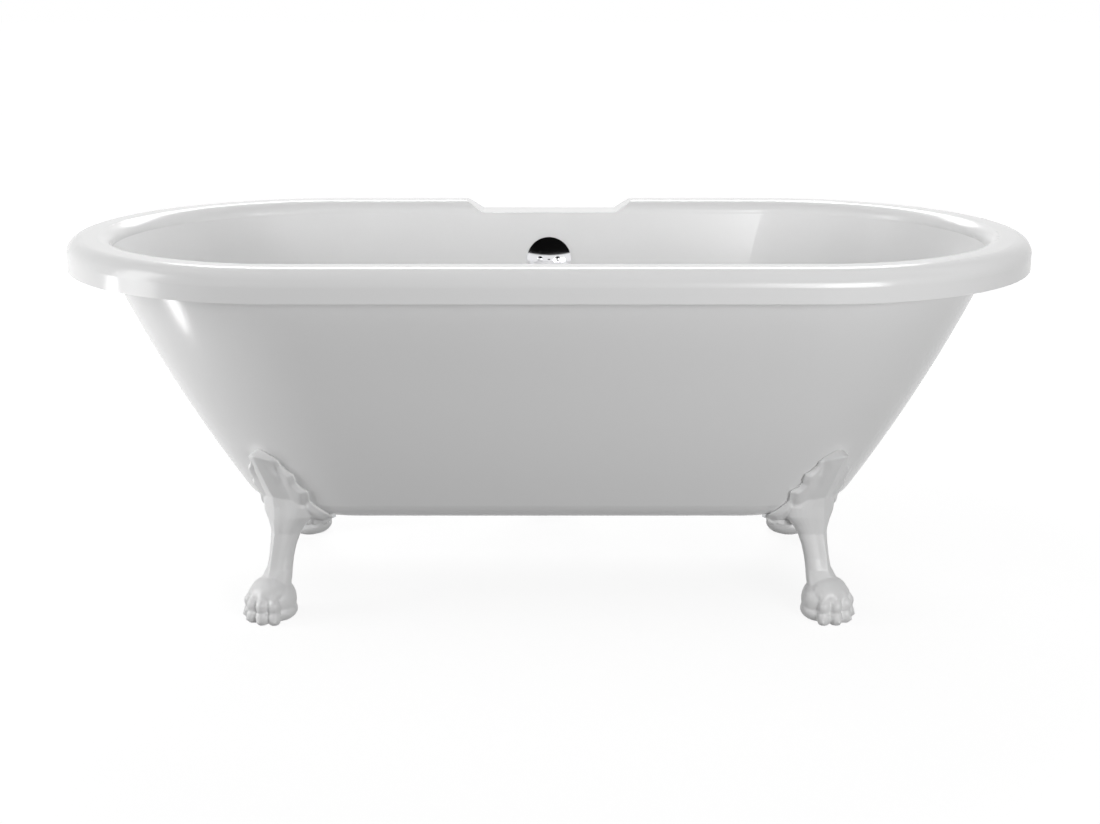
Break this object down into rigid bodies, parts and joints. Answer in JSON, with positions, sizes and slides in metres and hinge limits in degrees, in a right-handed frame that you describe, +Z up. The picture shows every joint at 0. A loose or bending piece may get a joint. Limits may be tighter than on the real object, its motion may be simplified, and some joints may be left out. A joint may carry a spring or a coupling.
{
  "type": "clawfoot bathtub",
  "caption": "Freestanding double-ended bath with a rolled rim, a flat tap ledge, an overflow, and cast claw feet.",
  "frame": {"origin": "on the floor under the middle of the bath", "axes": "+X along the bath, +Y towards the tap ledge, +Z up"},
  "size_m": [1.524, 0.762, 0.584],
  "materials": {
    "acrylic": "gloss",
    "fibre": "rough laminate",
    "board": "raw board",
    "cast": "satin enamel",
    "rubber": "matte",
    "zinc": "zinc plated",
    "brass": "turned",
    "chrome": "polished"
  },
  "bodies": {
    "bath": {"basin": "acrylic", "outer_skin": "acrylic", "fibre_layer": "fibre", "base_board": "board", "tap_ledge_board": "board", "foot_front_right": "cast", "foot_front_left": "cast", "foot_rear_right": "cast", "foot_rear_left": "cast", "foot_soles": "rubber", "foot_bolts": "zinc", "foot_washers": "zinc", "foot_inserts": "brass", "drain_strainer": "chrome", "drain_gasket": "rubber", "drain_shoe": "chrome", "level_pipe": "chrome", "overflow_faceplate": "chrome", "overflow_screws": "chrome", "overflow_gasket": "rubber", "overflow_elbow": "chrome", "overflow_pipe": "chrome", "waste_tee": "chrome", "waste_tail": "chrome", "overflow_elbow_nut": "chrome", "tee_upper_nut": "chrome", "tee_side_nut": "chrome", "tee_lower_nut": "chrome", "drain_shoe_nut": "chrome", "slip_washers": "rubber", "stopper_post": "brass"},
    "stopper_carriage": {"stopper_sleeve": "brass", "stopper_seal": "rubber"},
    "stopper_knob": {"stopper_cap": "chrome"}
  },
  "joints": [
    {"name": "stopper_lift", "type": "slide", "parent": "bath", "child": "stopper_carriage", "axis": [0, 0, 1], "range_m": [0, 0.01]},
    {"name": "stopper_turn", "type": "hinge", "parent": "stopper_carriage", "child": "stopper_knob", "pos_m": [0, 0.095, 0.2], "axis": [0, 0, 1], "range_deg": [0, 90]}
  ]
}
